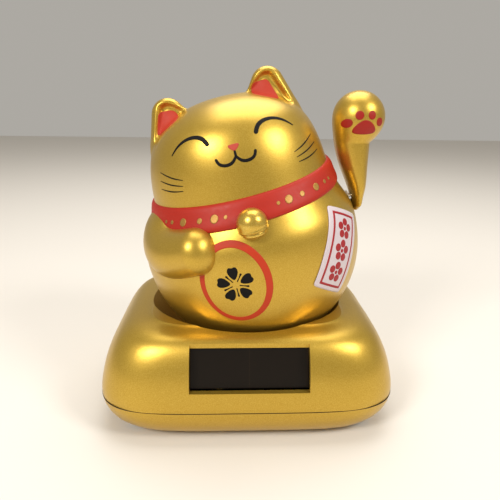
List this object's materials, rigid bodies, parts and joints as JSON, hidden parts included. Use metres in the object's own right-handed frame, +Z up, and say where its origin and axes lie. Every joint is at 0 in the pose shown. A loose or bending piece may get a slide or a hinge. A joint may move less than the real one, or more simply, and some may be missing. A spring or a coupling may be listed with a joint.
{
  "type": "beckoning cat figurine",
  "caption": "Gold plastic cat that rocks on a cushion base with a light cell, raised left arm beckoning as it rocks, red collar and bell.",
  "frame": {"origin": "centre of the flat underside of the base", "axes": "+Z up, -Y towards the front with the light cell and the face, +X to the side of the raised arm"},
  "size_m": [0.0927, 0.074, 0.1068],
  "materials": {
    "gold_base": "satin pearl gold paint on ABS",
    "solar_glass": "dark brown light cell on glass",
    "black_plastic": "moulded black plastic",
    "board_green": "solder-resist board",
    "resin_black": "cured resin",
    "can_aluminium": "bare can",
    "winding_copper": "enamelled copper winding",
    "steel": "zinc-plated steel",
    "weight_steel": "plain steel block",
    "white_plastic": "natural acetal",
    "magnet_nickel": "nickel-plated magnet",
    "red_insulation": "red insulation",
    "black_insulation": "black insulation",
    "gold_body": "satin pearl gold paint on ABS",
    "collar_red": "red soft PVC",
    "bell_gold": "satin gold paint",
    "sticker_pearl": "pearl-white printed sticker",
    "gold_arm": "satin pearl gold paint on ABS"
  },
  "bodies": {
    "base": {"base_upper_shell": "gold_base", "base_lower_shell": "gold_base", "base_screws": "steel", "solar_cell": "solar_glass", "cell_retainer": "black_plastic", "circuit_board": "board_green", "board_screws": "steel", "coil_bobbin": "white_plastic", "drive_coil": "winding_copper", "driver_chip": "resin_black", "storage_capacitor": "can_aluminium", "board_chips": "black_plastic", "cell_lead_red": "red_insulation", "cell_lead_black": "black_insulation", "pivot_yoke": "black_plastic", "yoke_screws": "steel", "pivot_axle": "steel", "axle_clips": "steel"},
    "cat": {"body_front_shell": "gold_body", "body_back_shell": "gold_body", "body_screws": "steel", "collar_band": "collar_red", "collar_bell": "bell_gold", "fortune_label": "sticker_pearl", "rocker_frame": "white_plastic", "rocker_screws": "steel", "pivot_bushes": "steel", "balance_weight": "weight_steel", "weight_screws": "steel", "drive_magnet": "magnet_nickel", "shoulder_bush": "white_plastic"},
    "arm": {"arm_front_shell": "gold_arm", "arm_back_shell": "gold_arm", "arm_shaft": "steel", "shaft_clip": "steel", "arm_crank": "white_plastic"}
  },
  "joints": [
    {"name": "body_rock", "type": "hinge", "parent": "base", "child": "cat", "pos_m": [0, 0, 0.059], "axis": [0, 1, 0], "range_deg": [-2.5, 31.5]},
    {"name": "arm_wave", "type": "hinge", "parent": "cat", "child": "arm", "pos_m": [0, 0, 0.059], "axis": [0.9681, 0, 0.2504], "range_deg": [-2.6, 31.6]}
  ],
  "couplings": [
    {"joint": "arm_wave", "follows": "body_rock", "ratio": 1}
  ]
}
